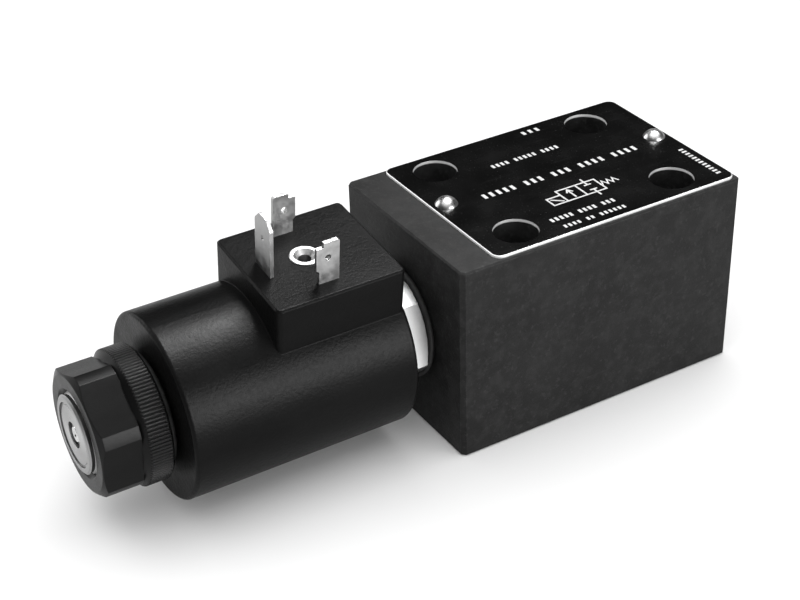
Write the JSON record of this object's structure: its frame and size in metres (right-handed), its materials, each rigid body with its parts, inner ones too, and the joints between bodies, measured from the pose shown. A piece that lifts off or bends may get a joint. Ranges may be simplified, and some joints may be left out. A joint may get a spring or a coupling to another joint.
{
  "type": "solenoid directional valve",
  "caption": "Subplate-mounted hydraulic seat valve: black block with drilled nameplate, round push solenoid with plug contacts, knurled ring nut and push-pin override.",
  "frame": {"origin": "centre of the four mounting holes, on the mounting face", "axes": "+Z out of the subplate; the solenoid lies along -X; +Y completes a right-handed frame, with port P on the +Y side"},
  "size_m": [0.1476, 0.046, 0.0609],
  "materials": {
    "black_iron": "black phosphated cast block, satin, ground faces",
    "black_plate": "gloss black printed aluminium plate with a bare bright edge",
    "bright_steel": "bright domed drive rivet",
    "seal_rubber": "black nitrile rubber",
    "hard_steel": "hardened ground steel",
    "bronze": "turned brass or bronze",
    "spring_steel": "drawn spring wire",
    "dark_steel": "blackened steel",
    "zinc_steel": "bright zinc plated turned steel",
    "turned_steel": "faced and turned steel",
    "coil_resin": "satin black moulded resin",
    "bobbin_nylon": "natural glass-filled nylon",
    "copper_wire": "enamelled copper wire",
    "tinned_brass": "tinned brass strip",
    "black_nut": "black anodised turned metal, satin"
  },
  "bodies": {
    "valve": {"valve_body": "black_iron", "nameplate": "black_plate", "nameplate_rivets": "bright_steel", "port_seals": "seal_rubber", "valve_seat": "hard_steel", "seat_seal": "seal_rubber", "stem_guide": "bronze", "return_spring": "spring_steel", "end_plug": "dark_steel", "end_plug_seal": "seal_rubber", "core_tube_base": "zinc_steel", "core_tube_seal": "seal_rubber", "core_tube_sleeve": "bronze", "core_tube": "zinc_steel", "tube_end_plug": "turned_steel", "tube_end_seal": "seal_rubber", "override_seal": "seal_rubber", "pole_shim": "bronze"},
    "coil": {"coil_housing": "coil_resin", "yoke_sleeve": "dark_steel", "yoke_front_washer": "dark_steel", "yoke_rear_washer": "dark_steel", "coil_bobbin": "bobbin_nylon", "coil_winding": "copper_wire", "earth_contact": "tinned_brass", "line_contact_1": "tinned_brass", "line_contact_2": "tinned_brass", "connector_insert": "tinned_brass", "coil_rear_seal": "seal_rubber"},
    "nut_seal": {"nut_seal": "seal_rubber"},
    "ring_nut": {"ring_nut": "black_nut"},
    "armature": {"armature": "turned_steel", "push_rod": "hard_steel"},
    "poppet": {"poppet": "hard_steel"},
    "override_pin": {"override_pin": "hard_steel"}
  },
  "joints": [
    {"name": "coil_swivel", "type": "hinge", "parent": "valve", "child": "coil", "pos_m": [-0.071, 0, 0.0228], "axis": [1, 0, 0], "range_deg": [-96.8, 83.2]},
    {"name": "nut_lift", "type": "slide", "parent": "valve", "child": "nut_seal", "axis": [-1, 0, 0], "range_m": [0, 0.0135]},
    {"name": "nut_turn", "type": "hinge", "parent": "nut_seal", "child": "ring_nut", "pos_m": [-0.105, 0, 0.0228], "axis": [-1, 0, 0], "range_deg": [0, 3241]},
    {"name": "armature_stroke", "type": "slide", "parent": "valve", "child": "armature", "axis": [1, 0, 0], "range_m": [0, 0.0025]},
    {"name": "poppet_lift", "type": "slide", "parent": "valve", "child": "poppet", "axis": [1, 0, 0], "range_m": [0, 0.0026], "stiffness_N_per_m": 4786, "springref_m": -0.004, "deforming": ["return_spring"]},
    {"name": "override_press", "type": "slide", "parent": "valve", "child": "override_pin", "axis": [1, 0, 0], "range_m": [0, 0.0026]}
  ],
  "couplings": [
    {"joint": "nut_turn", "follows": "nut_lift", "rad_per_m": 4188.8},
    {"joint": "poppet_lift", "follows": "armature_stroke", "ratio": 1},
    {"joint": "override_press", "follows": "armature_stroke", "ratio": 1}
  ]
}
